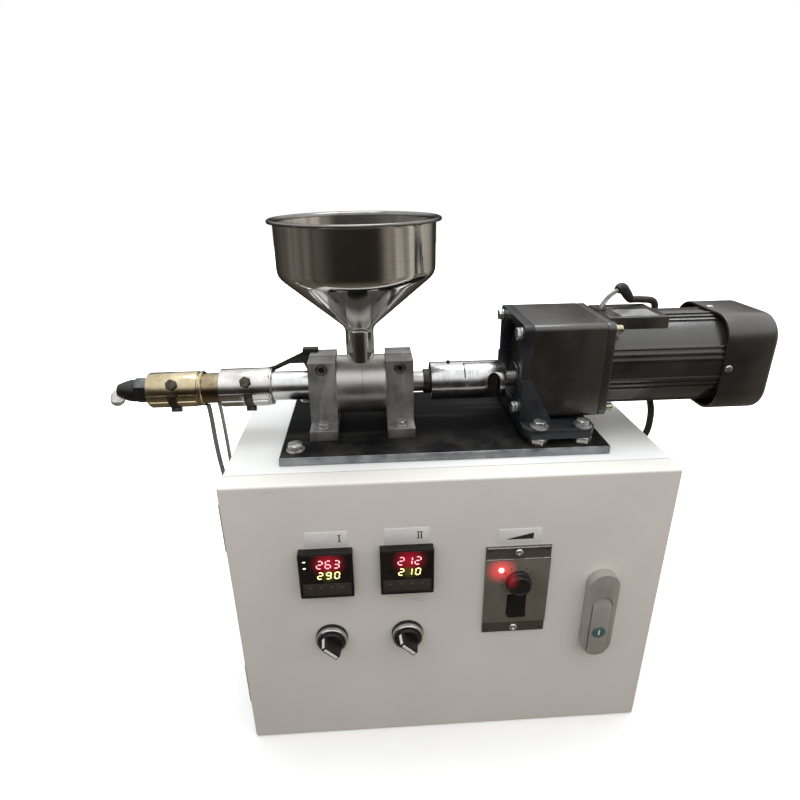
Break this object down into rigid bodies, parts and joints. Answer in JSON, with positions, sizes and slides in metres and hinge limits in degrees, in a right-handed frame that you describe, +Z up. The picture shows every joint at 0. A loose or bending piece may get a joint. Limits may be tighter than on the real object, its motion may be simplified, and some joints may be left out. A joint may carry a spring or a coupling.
{
  "type": "desktop filament extruder",
  "caption": "Desktop filament extruder: a hopper-fed screw barrel with heater bands, driven by a geared motor, on a sheet steel control box with a hinged instrument door.",
  "frame": {"origin": "centre of the control box's underside, on the surface it stands on", "axes": "+X along the barrel toward the motor, -Y toward the operator and the door, +Z up"},
  "size_m": [0.6245, 0.2214, 0.505],
  "materials": {
    "box_paint": "satin powder coat",
    "door_paint": "satin powder coat",
    "zinc": "zinc plated",
    "black_plate": "blackened, worn edges",
    "clamp_metal": "as cast and machined",
    "black_oxide": "black oxide",
    "turned_steel": "turned",
    "hopper_steel": "polished stainless",
    "band_steel": "polished, heat tinted",
    "band_brass": "polished",
    "melt": "clear bead",
    "cast_black": "painted casting",
    "motor_paint": "dark satin",
    "cable_black": "matt",
    "wire_grey": "satin",
    "black_plastic": "satin",
    "label_white": "matt tape",
    "ring_chrome": "satin plated",
    "face_plate": "printed foil",
    "lock_metal": "silver lacquer"
  },
  "bodies": {
    "cabinet": {"top_panel": "box_paint", "floor_panel": "box_paint", "left_wall": "box_paint", "right_wall": "box_paint", "back_wall": "box_paint", "door_frame": "box_paint", "box_hinge_leaves": "zinc", "base_plate": "black_plate", "plate_bolts": "zinc", "clamp_left": "clamp_metal", "clamp_right": "clamp_metal", "clamp_screws": "black_oxide", "stop_strap": "black_oxide", "feed_section": "turned_steel", "barrel_tube": "turned_steel", "hopper": "hopper_steel", "rear_heater_band": "band_steel", "front_heater_band": "band_brass", "band_screws": "black_oxide", "nozzle": "black_oxide", "melt_bead": "melt", "motor_bracket": "cast_black", "bracket_bolts": "zinc", "gearbox": "motor_paint", "gearbox_flange": "motor_paint", "motor_body": "motor_paint", "terminal_pad": "motor_paint", "fan_cover": "motor_paint", "motor_screws": "zinc", "motor_cable": "cable_black", "motor_wires": "wire_grey", "cable_boot": "cable_black", "heater_lead": "wire_grey", "sensor_lead": "wire_grey", "wall_grommets": "cable_black"},
    "door": {"door_panel": "door_paint", "door_hinge_leaves": "zinc", "controllers": "black_plastic", "door_labels": "label_white", "selector_rings": "ring_chrome", "speed_unit": "face_plate", "lock_body": "lock_metal"},
    "left_selector": {"selector_knob_left": "black_plastic"},
    "right_selector": {"selector_knob_right": "black_plastic"},
    "dial": {"speed_knob": "black_plastic"},
    "rocker": {"run_rocker": "black_plastic"},
    "handle": {"lock_handle": "lock_metal"},
    "drive": {"feed_screw": "turned_steel", "coupling": "turned_steel", "gear_shaft": "turned_steel"}
  },
  "joints": [
    {"name": "door_hinge", "type": "hinge", "parent": "cabinet", "child": "door", "pos_m": [-0.2035, -0.079, 0.15], "axis": [0, 0, -1], "range_deg": [0, 120]},
    {"name": "left_selector_turn", "type": "hinge", "parent": "door", "child": "left_selector", "pos_m": [-0.1134, -0.1, 0.1325], "axis": [0, 1, 0], "range_deg": [0, 90]},
    {"name": "right_selector_turn", "type": "hinge", "parent": "door", "child": "right_selector", "pos_m": [-0.0414, -0.1, 0.1325], "axis": [0, 1, 0], "range_deg": [0, 90]},
    {"name": "speed_dial_turn", "type": "hinge", "parent": "door", "child": "dial", "pos_m": [0.0613, -0.1, 0.1904], "axis": [0, 1, 0], "range_deg": [-135, 135]},
    {"name": "run_rocker_tilt", "type": "hinge", "parent": "door", "child": "rocker", "pos_m": [0.0615, -0.099, 0.162], "axis": [1, 0, 0], "range_deg": [0, 14]},
    {"name": "lock_handle_lift", "type": "hinge", "parent": "door", "child": "handle", "pos_m": [0.142, -0.1075, 0.1665], "axis": [-1, 0, 0], "range_deg": [0, 35]},
    {"name": "drive_turn", "type": "hinge", "parent": "cabinet", "child": "drive", "pos_m": [0, 0.007, 0.349], "axis": [1, 0, 0], "continuous": true}
  ]
}
